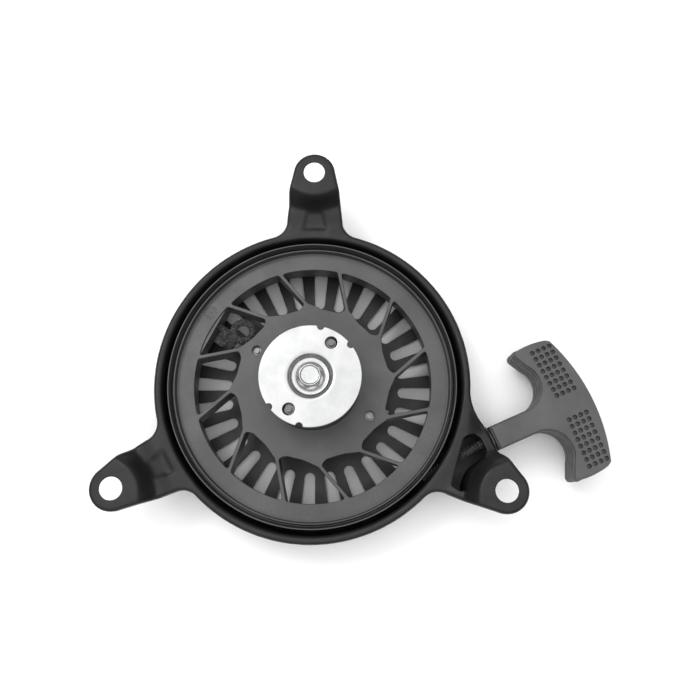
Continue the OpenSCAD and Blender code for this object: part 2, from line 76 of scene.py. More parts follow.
# ---------------------------------------------------------------- materials
# Sizes of noise and depths of bumps are in millimetres. Colours are linear.
class Shader:
    """A Principled material whose colour, roughness and bump are worked out by nodes in object space."""

    def __init__(self, name, metallic=0.0, roughness=0.5, specular=0.5):
        self.material = bpy.data.materials.new(name)
        self.material.use_nodes = True
        self.tree = self.material.node_tree
        self.tree.nodes.clear()
        output = self.node("ShaderNodeOutputMaterial")
        self.bsdf = self.node("ShaderNodeBsdfPrincipled")
        self.set(self.bsdf, "Metallic", metallic)
        self.set(self.bsdf, "Roughness", roughness)
        self.set(self.bsdf, "Specular IOR Level", specular)
        self.link(self.bsdf.outputs[0], output.inputs["Surface"])
        self.place = self.node("ShaderNodeTexCoord").outputs["Object"]
        self.normal = None

    def node(self, kind):
        return self.tree.nodes.new(kind)

    def set(self, node, socket, value):
        node.inputs[socket].default_value = value

    def link(self, source, socket):
        self.tree.links.new(source, socket)

    def stretched(self, scale, turn=0.0):
        """Object coordinates, turned about Z and scaled, so that a pattern can run in one direction."""
        mapping = self.node("ShaderNodeMapping")
        self.set(mapping, "Rotation", (0.0, 0.0, turn))
        self.set(mapping, "Scale", scale)
        self.link(self.place, mapping.inputs["Vector"])
        return mapping.outputs[0]

    def noise(self, size_mm, detail=3.0, rough=0.55, vector=None):
        """Noise whose features are about size_mm across."""
        tex = self.node("ShaderNodeTexNoise")
        self.set(tex, "Scale", 1.0 / (size_mm * MM))
        self.set(tex, "Detail", detail)
        self.set(tex, "Roughness", rough)
        self.link(vector or self.place, tex.inputs["Vector"])
        return tex.outputs["Fac"]

    def ramp(self, source, low, high, out_low=0.0, out_high=1.0):
        """Maps low..high of a value to out_low..out_high, held at both ends."""
        node = self.node("ShaderNodeMapRange")
        limits = {"From Min": low, "From Max": high, "To Min": out_low, "To Max": out_high}
        for socket, value in limits.items():
            self.set(node, socket, value)
        self.link(source, node.inputs["Value"])
        return node.outputs["Result"]

    def math(self, operation, a, b):
        node = self.node("ShaderNodeMath")
        node.operation = operation
        for socket, value in zip(node.inputs, (a, b)):
            if isinstance(value, (int, float)):
                socket.default_value = value
            else:
                self.link(value, socket)
        return node.outputs[0]

    def blend(self, factor, a, b):
        """Colour a where factor is 0, colour b where it is 1. Each is a colour or a node's output."""
        node = self.node("ShaderNodeMix")
        node.data_type = "RGBA"
        self.link(factor, node.inputs["Factor"])
        for socket, value in ((node.inputs[6], a), (node.inputs[7], b)):
            if isinstance(value, tuple):
                socket.default_value = (*value, 1.0)
            else:
                self.link(value, socket)
        return node.outputs[2]

    def colour(self, source):
        self.link(source, self.bsdf.inputs["Base Color"])

    def rough(self, source):
        self.link(source, self.bsdf.inputs["Roughness"])

    def bump(self, height, depth_mm, strength=1.0):
        """Adds a bump of that depth on top of any bump made before."""
        node = self.node("ShaderNodeBump")
        self.set(node, "Distance", depth_mm * MM)
        self.set(node, "Strength", strength)
        self.link(height, node.inputs["Height"])
        if self.normal:
            self.link(self.normal, node.inputs["Normal"])
        self.normal = node.outputs[0]
        self.link(self.normal, self.bsdf.inputs["Normal"])

    def radius(self):
        """Distance from the spin axis, in millimetres."""
        split = self.node("ShaderNodeSeparateXYZ")
        self.link(self.place, split.inputs[0])
        square = self.math("ADD", self.math("MULTIPLY", split.outputs[0], split.outputs[0]),
                           self.math("MULTIPLY", split.outputs[1], split.outputs[1]))
        return self.math("DIVIDE", self.math("SQRT", square, 0.0), MM)


def black_steel():
    s = Shader("black_steel", roughness=0.42, specular=0.28)
    cloud = s.noise(22, 4)
    dust = s.ramp(s.noise(0.9, 5, 0.7), 0.62, 0.78)
    tone = s.blend(s.ramp(cloud, 0.35, 0.7), (0.008, 0.008, 0.0085), (0.014, 0.014, 0.0145))
    s.colour(s.blend(s.math("MULTIPLY", dust, 0.35), tone, (0.04, 0.04, 0.039)))
    s.rough(s.ramp(s.noise(7, 5, 0.65), 0.3, 0.75, 0.34, 0.56))
    s.bump(s.noise(1.3, 2), 0.05, 0.35)
    s.bump(s.noise(0.22, 2), 0.012, 0.5)
    return s.material


def black_nylon():
    s = Shader("black_nylon", roughness=0.45)
    patch = s.ramp(s.noise(26, 3, 0.6), 0.46, 0.6)
    grain = s.noise(0.55, 3, 0.6)
    tone = s.blend(s.ramp(s.noise(30, 3), 0.3, 0.7), (0.036, 0.036, 0.037), (0.056, 0.056, 0.057))
    scuffed = s.math("MULTIPLY", s.ramp(grain, 0.5, 0.72), s.math("MULTIPLY", patch, 0.45))
    s.colour(s.blend(scuffed, tone, (0.12, 0.12, 0.12)))
    s.rough(s.ramp(s.noise(9, 4, 0.6), 0.3, 0.75, 0.36, 0.52))
    s.bump(s.math("MULTIPLY", grain, s.ramp(patch, 0.0, 1.0, 0.25, 1.0)), 0.09, 0.5)
    return s.material


def eyelet_nylon():
    s = Shader("eyelet_nylon", roughness=0.3)
    s.colour(s.blend(s.noise(3, 3), (0.016, 0.016, 0.016), (0.03, 0.03, 0.031)))
    s.rough(s.ramp(s.noise(1.2, 4), 0.3, 0.7, 0.2, 0.4))
    s.bump(s.noise(0.4, 2), 0.02, 0.3)
    return s.material


def zinc():
    s = Shader("zinc", metallic=1.0, roughness=0.3)
    rolled = s.noise(1.6, 4, 0.6, s.stretched((1.0, 0.06, 1.0), math.radians(24)))
    tone = s.blend(s.ramp(s.noise(9, 4), 0.35, 0.7), (0.44, 0.44, 0.435), (0.37, 0.375, 0.38))
    s.colour(s.blend(s.math("MULTIPLY", s.ramp(rolled, 0.5, 0.75), 0.2), tone, (0.33, 0.335, 0.34)))
    s.rough(s.ramp(rolled, 0.3, 0.7, 0.26, 0.36))
    s.bump(rolled, 0.006, 0.3)
    s.bump(s.noise(0.3, 2), 0.008, 0.4)
    return s.material


def turned_zinc():
    s = Shader("turned_zinc", metallic=1.0, roughness=0.25)
    wave = s.node("ShaderNodeTexWave")
    wave.wave_type = "RINGS"
    wave.rings_direction = "Z"
    s.set(wave, "Scale", 500.0)
    s.set(wave, "Distortion", 0.6)
    s.link(s.place, wave.inputs["Vector"])
    s.colour(s.blend(s.noise(1.5, 4), (0.47, 0.47, 0.465), (0.34, 0.345, 0.35)))
    s.rough(s.ramp(s.noise(0.8, 4), 0.3, 0.7, 0.18, 0.36))
    s.bump(wave.outputs["Fac"], 0.02, 0.35)
    s.bump(s.noise(0.5, 3), 0.03, 0.3)
    return s.material


def zinc_dull():
    s = Shader("zinc_dull", metallic=1.0, roughness=0.45)
    s.colour(s.blend(s.noise(2.5, 5), (0.26, 0.26, 0.255), (0.15, 0.15, 0.15)))
    s.rough(s.ramp(s.noise(1.1, 4), 0.3, 0.7, 0.34, 0.58))
    s.bump(s.noise(0.4, 3), 0.03, 0.4)
    return s.material


def plain_steel():
    s = Shader("plain_steel", metallic=1.0, roughness=0.35)
    s.colour(s.blend(s.noise(1.8, 5), (0.15, 0.15, 0.155), (0.09, 0.09, 0.095)))
    s.rough(s.ramp(s.noise(1.0, 4), 0.3, 0.7, 0.26, 0.5))
    s.bump(s.noise(0.35, 3), 0.02, 0.4)
    return s.material


def spring_steel():
    s = Shader("spring_steel", metallic=1.0, roughness=0.3)
    s.colour(s.blend(s.noise(4, 4), (0.12, 0.125, 0.14), (0.18, 0.18, 0.185)))
    s.rough(s.ramp(s.noise(0.8, 4), 0.3, 0.7, 0.22, 0.42))
    s.bump(s.noise(0.5, 2, 0.5, s.stretched((1.0, 1.0, 0.1))), 0.015, 0.4)
    return s.material


def rope_fibre():
    s = Shader("rope", roughness=0.6)
    s.set(s.bsdf, "Sheen Weight", 0.35)
    s.set(s.bsdf, "Sheen Roughness", 0.4)
    fibre = s.noise(0.22, 4, 0.7)
    s.colour(s.blend(s.ramp(fibre, 0.42, 0.75), (0.008, 0.008, 0.009), (0.036, 0.036, 0.038)))
    s.rough(s.ramp(s.noise(1.1, 3), 0.3, 0.7, 0.42, 0.7))
    s.bump(fibre, 0.06, 0.7)
    return s.material


def grip_plastic():
    s = Shader("grip_plastic", roughness=0.5)
    grain = s.noise(0.5, 3, 0.6)
    tone = s.blend(s.ramp(s.noise(18, 4), 0.35, 0.7), (0.048, 0.048, 0.049), (0.066, 0.066, 0.067))
    s.colour(s.blend(s.math("MULTIPLY", s.ramp(grain, 0.55, 0.75), 0.3), tone, (0.11, 0.11, 0.11)))
    s.rough(s.ramp(s.noise(6, 4, 0.6), 0.3, 0.75, 0.42, 0.6))
    s.bump(grain, 0.06, 0.35)
    return s.material


def paper_with_painted_shadow():
    s = Shader("paper_with_painted_shadow", roughness=0.85)
    # Painted shadow: the floor is grey (0.42) within 66 mm of the spin axis and blends to the pale card by 84
    # mm. This stands in for the shade under the housing.
    painted_shadow_r, painted_shadow_fade_r = 66.0, 84.0
    card = s.blend(s.noise(60, 3), (0.93, 0.93, 0.93), (0.95, 0.95, 0.95))
    s.colour(s.blend(s.ramp(s.radius(), painted_shadow_r, painted_shadow_fade_r), (0.42, 0.42, 0.42), card))
    s.bump(s.noise(0.8, 3), 0.02, 0.2)
    return s.material


FINISHES = {
    "black_steel": black_steel(), "black_nylon": black_nylon(), "eyelet_nylon": eyelet_nylon(),
    "zinc": zinc(), "turned_zinc": turned_zinc(), "zinc_dull": zinc_dull(), "plain_steel": plain_steel(),
    "spring_steel": spring_steel(), "rope": rope_fibre(), "grip_plastic": grip_plastic(), "paper_with_painted_shadow": paper_with_painted_shadow(),
}


def paint(obj, finish):
    obj.data.materials.clear()
    obj.data.materials.append(FINISHES[finish])


# ---------------------------------------------------------------- outlines, in millimetres
def polar(radius, degrees):
    return (radius * math.cos(math.radians(degrees)), radius * math.sin(math.radians(degrees)))


def arc(centre, radius, start, end, steps):
    """Points on an arc, both ends included."""
    turns = [start + (end - start) * i / steps for i in range(steps + 1)]
    return [(centre[0] + polar(radius, t)[0], centre[1] + polar(radius, t)[1]) for t in turns]


def circle(centre, radius, steps):
    return arc(centre, radius, 0.0, 360.0, steps)[:-1]


def turned(points, degrees):
    c, s = polar(1.0, degrees)
    return [(x * c - y * s, x * s + y * c) for x, y in points]


def along_rope(points):
    """From the rope's frame, with X along the rope and Y = 0 on it, to the housing's."""
    return turned([(x, y - ROPE_OFFSET) for x, y in points], ROPE_DIR)


def area(loop):
    return sum(a[0] * b[1] - b[0] * a[1] for a, b in zip(loop, loop[1:] + loop[:1])) / 2.0


def wound(loop, left):
    """The loop, run counter-clockwise if left is true and clockwise if not."""
    return loop if (area(loop) > 0.0) == left else loop[::-1]


def rounded(points, radius, steps=4):
    """A closed outline with its corners rounded, as far as their edges leave room."""
    out = []
    for i, corner in enumerate(points):
        here = Vector(corner)
        back = Vector(points[i - 1]) - here
        on = Vector(points[(i + 1) % len(points)]) - here
        bend = math.pi - back.angle(on)
        if bend < 0.12:
            out.append(corner)
            continue
        reach = min(radius * math.tan(bend / 2.0), 0.48 * back.length, 0.48 * on.length)
        start = here + back.normalized() * reach
        end = here + on.normalized() * reach
        for k in range(steps + 1):
            t = k / steps
            out.append(tuple(start * (1.0 - t) ** 2 + here * 2.0 * t * (1.0 - t) + end * t * t))
    return out


def spaced(points, gap):
    """A closed outline with points added so that no edge is longer than gap."""
    out = []
    for a, b in zip(points, points[1:] + points[:1]):
        parts = max(1, math.ceil(math.dist(a, b) / gap))
        out += [(a[0] + (b[0] - a[0]) * k / parts, a[1] + (b[1] - a[1]) * k / parts) for k in range(parts)]
    return out


def pushed(loop, distance):
    """The loop moved to the left of the way it runs."""
    out = []
    for i, here in enumerate(loop):
        way = Vector(loop[(i + 1) % len(loop)]) - Vector(loop[i - 1])
        way.normalize()
        out.append((here[0] - way.y * distance, here[1] + way.x * distance))
    return out


def inside(point, loops):
    """Whether a point lies inside an odd number of the loops."""
    x, y = point
    odd = False
    for loop in loops:
        for a, b in zip(loop, loop[1:] + loop[:1]):
            if (a[1] > y) != (b[1] > y) and x < a[0] + (y - a[1]) * (b[0] - a[0]) / (b[1] - a[1]):
                odd = not odd
    return odd


def smooth_step(value, low, high):
    t = min(1.0, max(0.0, (value - low) / (high - low)))
    return t * t * (3.0 - 2.0 * t)


# ---------------------------------------------------------------- mesh building
MERGE = 1e-6
STRANDS = 8
SHARP_ANGLE = 42.0
BEVEL_ANGLE = 50.0
LEVEL_Z = 0.9999


class Piece:
    """A mesh under construction, in millimetres, that becomes one object riding on one body."""

    def __init__(self):
        self.bm = bmesh.new()

    def ring(self, points):
        return [self.bm.verts.new(p) for p in points]

    def level(self, loop, z):
        return self.ring([(x, y, z) for x, y in loop])

    def bridge(self, a, b, closed=True):
        count = len(a)
        for i in range(count if closed else count - 1):
            j = (i + 1) % count
            self.bm.faces.new((a[i], a[j], b[j], b[i]))

    def chain(self, rings, closed=True):
        for a, b in zip(rings, rings[1:]):
            self.bridge(a, b, closed)

    def cap(self, rings, inner=()):
        """Fills the space inside the first ring and outside the others, through any inner points given."""
        verts = [v for ring in rings for v in ring] + self.ring(inner)
        edges = []
        for ring in rings:
            start = len(edges)
            edges += [(start + i, start + (i + 1) % len(ring)) for i in range(len(ring))]
        loops = [[tuple(v.co.xy) for v in ring] for ring in rings]
        flat = [Vector(v.co.xy) for v in verts]
        places, _, faces, origin, _, _ = delaunay_2d_cdt(flat, edges, [], 1, MERGE)
        level = verts[0].co.z
        made = [verts[o[0]] if o else self.bm.verts.new((*xy, level)) for xy, o in zip(places, origin)]
        for face in faces:
            corners = [made[i] for i in face]
            centre = sum((v.co for v in corners), Vector()) / 3.0
            if len(set(corners)) == 3 and inside(centre.xy, loops):
                self.bm.faces.new(corners)

    def closed_off(self, rings):
        """A solid through the rings, with a face over the first and over the last."""
        self.chain(rings)
        self.bm.faces.new(rings[0])
        self.bm.faces.new(rings[-1])

    def rolled(self, loop, top, edge, steps=4, down=True):
        """Rings round an edge: from the flat inside the loop to the loop itself, edge lower or higher."""
        sign = -1.0 if down else 1.0
        rings = []
        for k in range(steps + 1):
            a = math.radians(90.0 * k / steps)
            z = top + sign * edge * (1.0 - math.cos(a))
            rings.append(self.level(pushed(loop, edge * (1.0 - math.sin(a))), z))
        return rings

    def slab(self, outline, holes, top, bottom, edge, steps=3, open_hole=None):
        """A plate with rounded upper edges. open_hole is left without a wall, and its two rings come back."""
        tops = []
        bottoms = []
        for index, loop in enumerate([outline] + holes):
            loop = wound(loop, index == 0)
            rings = self.rolled(loop, top, edge, steps)
            rings.append(self.level(loop, bottom + edge / 2.0))
            rings.append(self.level(pushed(loop, edge / 2.0), bottom))
            self.chain(rings)
            tops.append(rings[0])
            bottoms.append(rings[-1])
        if open_hole:
            loop = wound(open_hole, False)
            tops.append(self.level(loop, top))
            bottoms.append(self.level(loop, bottom))
        self.cap(tops)
        self.cap(bottoms)
        return tops[-1], bottoms[-1]

    def lathe(self, profile, steps=160, closed=True):
        rings = [self.level(circle((0.0, 0.0), r, steps), z) for r, z in profile]
        self.chain(rings + rings[:1] if closed else rings)
        return rings

    def sector(self, profile, start, end, steps):
        """A closed profile swept round the spin axis between two directions."""
        sections = []
        for t in [start + (end - start) * i / steps for i in range(steps + 1)]:
            sections.append(self.ring([(*polar(r, t), z) for r, z in profile]))
        self.closed_off(sections)

    def tube(self, path, radius, sides, closed=False):
        """A round tube along a path, which is a ring if closed is true."""
        rings = []
        for p, across, up in carried(path, closed):
            turns = [math.tau * k / sides for k in range(sides)]
            rings.append(self.ring([p + (across * math.cos(t) + up * math.sin(t)) * radius for t in turns]))
        if closed:
            self.chain(rings + rings[:1])
        else:
            self.closed_off(rings)

    def braid(self, path, radius, pitch, strand=0.62, closed=False):
        """Eight strands, four each way, that pass over and under each other along a path."""
        sunk = 0.12
        weave = 0.2
        places = carried(path, closed)
        length = sum((b[0] - a[0]).length for a, b in zip(places, places[1:]))
        if closed:
            pitch = length / max(1, round(length / pitch))
        for number in range(STRANDS):
            way = 1.0 if number % 2 == 0 else -1.0
            gone = 0.0
            line = []
            last = places[0][0]
            for p, across, up in places:
                gone += (p - last).length
                last = p
                turn = way * math.tau * gone / pitch + math.radians(90.0 * (number // 2))
                out = radius - strand - sunk + weave * way * math.cos(4.0 * turn)
                line.append(p + (across * math.cos(turn) + up * math.sin(turn)) * out)
            self.tube(line, strand, 6, closed)

    def face_up(self, x, y):
        """Turns the whole sheet so that the face nearest a place looks up."""
        bmesh.ops.recalc_face_normals(self.bm, faces=self.bm.faces)
        near = min(self.bm.faces, key=lambda f: (f.calc_center_median().xy - Vector((x, y))).length)
        if near.normal.z < 0.0:
            bmesh.ops.reverse_faces(self.bm, faces=self.bm.faces)

    def join(self, other):
        """Takes in the faces of another piece."""
        mesh = bpy.data.meshes.new("part")
        other.bm.to_mesh(mesh)
        self.bm.from_mesh(mesh)
        bpy.data.meshes.remove(mesh)

    def corner_normals(self):
        """One normal for each face corner: level faces stay flat, and their neighbours lean to them."""
        self.bm.normal_update()
        sharp = math.cos(math.radians(SHARP_ANGLE))
        size = {face: face.calc_area() for face in self.bm.faces}
        found = []
        for face in self.bm.faces:
            for corner in face.loops:
                total = Vector()
                near = [f for f in corner.vert.link_faces if f.normal.dot(face.normal) > sharp]
                level = [f for f in near if abs(f.normal.z) > LEVEL_Z]
                for f in level or near:
                    total += f.normal * size[f]
                found.append(total.normalized() if total.length > 0.0 else face.normal.copy())
        return found

    def finish(self, name, body, slot, finish, nodes=(), sheet=None, edge=0.0):
        """Makes the object. sheet thickens an open surface, away from the side it faces."""
        if not sheet:
            bmesh.ops.recalc_face_normals(self.bm, faces=self.bm.faces)
        bmesh.ops.scale(self.bm, vec=(MM, MM, MM), verts=self.bm.verts)
        for face in self.bm.faces:
            face.smooth = True
        mesh = bpy.data.meshes.new(name)
        normals = self.corner_normals()
        self.bm.to_mesh(mesh)
        self.bm.free()
        if not sheet and not edge:
            mesh.normals_split_custom_set(normals)
        obj = bpy.data.objects.new(name, mesh)
        scene.collection.objects.link(obj)
        if sheet:
            thick = obj.modifiers.new("sheet", "SOLIDIFY")
            thick.thickness = sheet * MM
            thick.offset = -1.0
        if edge:
            bevel = obj.modifiers.new("edge", "BEVEL")
            bevel.width = edge * MM
            bevel.segments = 2
            bevel.limit_method = "ANGLE"
            bevel.angle_limit = math.radians(BEVEL_ANGLE)
        if sheet or edge:
            weighted = obj.modifiers.new("normals", "WEIGHTED_NORMAL")
            weighted.weight = 80
        paint(obj, finish)
        if body:
            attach(obj, body)
        if nodes:
            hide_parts(*nodes)
        return obj


def carried(path, closed=False):
    """Each point of a path with two directions across it, carried along without twisting."""
    points = [Vector(p) for p in path]
    count = len(points)
    ways = []
    for i in range(count):
        after = points[(i + 1) % count] if closed else points[min(i + 1, count - 1)]
        before = points[i - 1] if closed or i else points[0]
        ways.append((after - before).normalized())
    across = ways[0].orthogonal().normalized()
    out = []
    for p, way in zip(points, ways):
        across = (across - way * across.dot(way)).normalized()
        out.append((p, across, way.cross(across)))
    return out


def box_mm(node):
    low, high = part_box(node)
    return [v / MM for v in low], [v / MM for v in high]


# ---------------------------------------------------------------- sizes, in millimetres
PULLEY_BOX = box_mm("pulley")
PLATE_BOX = box_mm("drive_plate")
HOUSING_BOX = box_mm("housing")
GRIP_BOX = box_mm("handle_grip")
SCREW_BOX = box_mm("center_screw")
ROPE_BOX = box_mm("rope_run")
WOUND_BOX = box_mm("rope_wound")

# Housing: the bowl and its rolled rim
SHEET = 1.6
RIM_R = 81.5
RIM_Z = -11.85
ROLL_R = 2.15
ROLL_C = RIM_R - ROLL_R
ROLL_CREST = 0.75
BOWL_R = ROLL_C - ROLL_R
BOWL_WALL_TOP = -22.0
BOWL_CORNER_R = 5.0
FLOOR_IN_Z = HOUSING_BOX[0][2] + SHEET
FOLD_R = 2.0
SKIRT = 5.2
HUB_R = 32.0
HUB_RISE = 1.5
SLOTS = 28
SLOT_IN_R = 45.5
SLOT_OUT_R = 70.4
SLOT_HALF_ANGLE = 3.45
SLOT_FIRST = 0.82

# Housing: the three arms with their ears, +Y along the arm
EAR_TURNS = (0.0, 120.0, 240.0)
EAR_R = 110.0
EAR_TIP_R = 11.0
EAR_HOLE_R = 5.6
ARM_HALF_W = 13.4
ARM_BASE_W = 15.0
ARM_FILLET_R = 9.5
ARM_STRAIGHT_END = 100.0
ARM_RISE = 2.2
ARM_RISE_START, ARM_RISE_END = 84.0, 93.0
PAD_R = 12.0
PAD_FOOT_R = 18.4
PAD_BOW = 2.4
SWAGE_DEPTH = 1.1
SWAGE_HALF_W = 6.6
SWAGE_TAPER = 2.6
SWAGE_START = 80.5
SWAGE_END = 91.4
SWAGE_BOW = 4.0

# The rope's frame: X along the rope, Y = 0 on it
ROPE_DIR = 24.0
ROPE_OFFSET = 64.0
ROPE_Z = (ROPE_BOX[0][2] + ROPE_BOX[1][2]) / 2.0
ROPE_R = 2.0
EYELET_X = 66.0
SNOUT_X = 72.0
SNOUT_HALF_W = 8.2
SNOUT_DROP = 5.4
SHOULDER_R = 22.0
RIGHT_EAR = (64.65, -25.0)

# Pulley
LIP_R = PULLEY_BOX[1][0]
FACE_Z = WOUND_BOX[1][2] + 2.1
FACE_IN_R = 70.2
WEB = 2.5
LIP_Z = FACE_Z + 6.5
RING_Z = FACE_Z + 3.7
FLANGE = 2.0
GROOVE_Z = FACE_Z - 10.4
FAR_Z = GROOVE_Z - FLANGE
FAR_R = 73.5
SKIRT_Z = PULLEY_BOX[0][2]
SKIRT_IN_R, SKIRT_OUT_R = 38.0, 39.6
DRUM_IN_R = 61.8
DRUM_OUT_R = 64.0
KEEPER_PIN_R = 34.4
KEEPER_HOLE_R = 2.5
HOUSE_R = 24.5
HOUSE_IN_R = 22.3
HOUSE_TOP = PULLEY_BOX[1][2]
HOUSE_FLOOR = -3.4
GATEWAY = 54.0
BORE_R = 8.05
BOSS_R = 11.5
BOSS_BOTTOM = -20.8
SPOKES = 12
SPOKE_HALF_W = 0.95
GUIDE_ANG = 58.5

# Drive plate, screw and grip
PLATE_R = 25.7
PLATE_TOP = PLATE_BOX[1][2]
PLATE_T = 1.5
DISH_R = 12.8
DISH_DEPTH = 3.0
GUIDE_R = 19.5
GUIDE_HOLE_R = 2.9
NOTCH_R = 1.6
NOTCH_ANG = 20.3
SCREW_FLAT_R = 5.5
GRIP_TOP = GRIP_BOX[1][2]
GRIP_BOTTOM = GRIP_BOX[0][2]
KNOT_SPACE_DEPTH = 13.5


# ---------------------------------------------------------------- housing
def arm_side():
    """One side of an arm, from the rim out to its tip, with +Y along the arm."""
    cx = ARM_BASE_W + ARM_FILLET_R
    cy = math.sqrt((RIM_R + ARM_FILLET_R) ** 2 - cx * cx)
    turn = math.degrees(math.atan2(cy, cx))
    fillet = arc((cx, cy), ARM_FILLET_R, 180.0 + turn, 180.0, 12)
    return fillet + [(ARM_HALF_W, ARM_STRAIGHT_END)] + arc((0.0, EAR_R), EAR_TIP_R, 8.0, 90.0, 14)


def mirrored(points):
    return [(-x, y) for x, y in reversed(points)]


def rim_between(a, b):
    """Points on the rim after a and before b, counter-clockwise."""
    start = math.degrees(math.atan2(a[1], a[0]))
    end = math.degrees(math.atan2(b[1], b[0]))
    if end < start:
        end += 360.0
    return arc((0.0, 0.0), RIM_R, start, end, 40)[1:-1]


def silhouette():
    """The housing's outer edge in plan: three ears, the rim and the shoulder over the rope's outlet."""
    top = arm_side() + mirrored(arm_side())[1:]
    left = turned(top, 120.0)
    tip = arc((0.0, EAR_R), EAR_TIP_R, 90.0, 165.0, 14)
    right = turned(arm_side() + tip[1:], 240.0)
    snout = along_rope([(SNOUT_X, -SNOUT_HALF_W), (SNOUT_X, SNOUT_HALF_W)])
    shoulder = polar(RIM_R + SHOULDER_R, -3.0)
    start = math.degrees(math.atan2(snout[1][1] - shoulder[1], snout[1][0] - shoulder[0])) % 360.0
    right += snout + arc(shoulder, SHOULDER_R, start, 177.0, 16)[3:]
    loop = top + rim_between(top[-1], left[0]) + left + rim_between(left[-1], right[0]) + right
    return spaced(rounded(loop + rim_between(right[-1], top[0]), 2.6), 1.6)


def swage_depth(u, v, foot):
    """Depth of the tapered swage pressed into an arm, up to the foot of the ear's pad."""
    blur = 0.6
    half = SWAGE_HALF_W - SWAGE_TAPER * smooth_step(v, 80.0, 94.0)
    across = 1.0 - smooth_step(abs(u), half - blur, half + blur)
    along = smooth_step(v, SWAGE_START, SWAGE_START + 4.0) * (1.0 - smooth_step(v, foot - 1.5, foot + 2.0))
    return SWAGE_DEPTH * across * along


def arm_rise(u, v, swaged):
    """Height of an arm over the rim: it lifts a little, then climbs to the pad round the ear's hole."""
    bow = (u / ARM_HALF_W) ** 2
    rise = ARM_RISE * smooth_step(v, ARM_RISE_START, ARM_RISE_END)
    pad = math.hypot(u, min(v - EAR_R, 0.0)) - PAD_BOW * min(bow, 1.0)
    rise += (-RIM_Z - rise) * (1.0 - smooth_step(pad, PAD_R, PAD_FOOT_R))
    if swaged:
        rise -= swage_depth(u, v, SWAGE_END + SWAGE_BOW * bow)
    return rise


def sheet_height(x, y):
    """Height of the pressed sheet outside the bowl."""
    arm_reach = 22.0
    radius = math.hypot(x, y)
    z = RIM_Z
    if radius < ROLL_C:
        z = RIM_Z - ROLL_R + math.sqrt(ROLL_R ** 2 - (ROLL_C - radius) ** 2)
    for turn in EAR_TURNS:
        u, v = turned([(x, y)], -turn)[0]
        if v > 0.0 and abs(u) < arm_reach:
            z += arm_rise(u, v, turn != EAR_TURNS[-1])
    rope_x, rope_y = rope_place(x, y)
    slope = smooth_step(rope_y, -13.0, -7.0) * smooth_step(radius, ROLL_C, ROLL_C + 12.0)
    return z - SNOUT_DROP * slope * smooth_step(rope_x, 56.0, SNOUT_X)


def rope_place(x, y):
    """From the housing's frame to the rope's."""
    u, v = turned([(x, y)], -ROPE_DIR)[0]
    return u, v + ROPE_OFFSET


def mouth():
    """Opening over the rope, beside the right ear."""
    near = [(58.5, 6.0), (61.0, 6.6), (65.0, 6.0), (67.0, 3.0), (67.0, -4.0), (64.0, -6.4)]
    beside_ear = arc(RIGHT_EAR, 17.9, 112.0, 156.0, 8)
    return along_rope(rounded(near + beside_ear + [(45.4, -16.2), (43.0, -12.1)], 1.4))


def pocket():
    """Plan of the drawn pocket under that opening, inside its walls."""
    outside_bowl = BOWL_R + SHEET + 0.05
    bowl_side = [polar(outside_bowl, -t) for t in (46.5, 50.0, 54.0, 58.0, 62.0)]
    bowl_side = [(x, y + ROPE_OFFSET) for x, y in bowl_side]
    lower = [(42.0, -13.4), (45.6, -17.4)]
    ear = arc(RIGHT_EAR, 17.5, 156.0, 112.0, 8)
    return along_rope(rounded(bowl_side + lower + ear + [(70.2, -6.6), (70.2, 6.6)], 1.2))


def grille_slot(number):
    """One slot of the bowl's floor: round at its inner end, wider and square at its outer end."""
    half = math.radians(SLOT_HALF_ANGLE)
    in_r = SLOT_IN_R * math.sin(half) * 1.06
    half_w = (SLOT_OUT_R + 0.2) * math.sin(half) * 0.94
    wide_x = 66.0
    end = [(wide_x, half_w), (SLOT_OUT_R, half_w), (SLOT_OUT_R, -half_w), (wide_x, -half_w)]
    shape = arc((SLOT_IN_R + in_r, 0.0), in_r, 270.0, 90.0, 10) + rounded(end, 1.4)[5:-5]
    return turned(spaced(shape, 2.6), 360.0 / SLOTS * (number + SLOT_FIRST))


def add_folded_edge(flange):
    """The outer edge, folded down to a skirt. Gives back the ring where the flat sheet starts."""
    outline = silhouette()
    inner = pushed(outline, FOLD_R)
    steps = 6
    rings = []
    for k in range(steps + 1):
        a = math.radians(90.0 * k / steps)
        loop = pushed(outline, FOLD_R * (1.0 - math.sin(a)))
        drop = FOLD_R * (1.0 - math.cos(a))
        rings.append(flange.ring([(x, y, sheet_height(*p) - drop) for (x, y), p in zip(loop, inner)]))
    rings.append(flange.ring([(x, y, sheet_height(*p) - SKIRT) for (x, y), p in zip(outline, inner)]))
    flange.chain(rings)
    return rings[0]


def add_ear_hole(flange, turn):
    hole = wound(turned(circle((0.0, EAR_R), EAR_HOLE_R, 36), turn), False)
    lips = flange.rolled(hole, 0.0, 0.35, 2)
    flange.chain(lips)
    return lips[0]


def add_mouth_lip(flange):
    gap = wound(spaced(mouth(), 1.6), False)
    lips = []
    for inset, drop in ((0.9, 0.0), (0.45, 0.12), (0.12, 0.45), (0.0, 0.9), (0.0, 2.0)):
        lips.append(flange.ring([(x, y, sheet_height(x, y) - drop) for x, y in pushed(gap, inset)]))
    flange.chain(lips)
    return lips[0]


def bowl_profile():
    """From the rim's crest over the roll and down the wall to the floor."""
    crest_r = ROLL_C - ROLL_CREST
    profile = [(crest_r, sheet_height(crest_r, 0.0))]
    for r, z in arc((ROLL_C, RIM_Z - ROLL_R), ROLL_R, 130.0, 160.0, 2):
        profile.append((r, z))
    profile.append((BOWL_R, RIM_Z - ROLL_R))
    corner = (BOWL_R - BOWL_CORNER_R, FLOOR_IN_Z + BOWL_CORNER_R)
    return profile + [(BOWL_R, BOWL_WALL_TOP)] + arc(corner, BOWL_CORNER_R, 0.0, -90.0, 8)


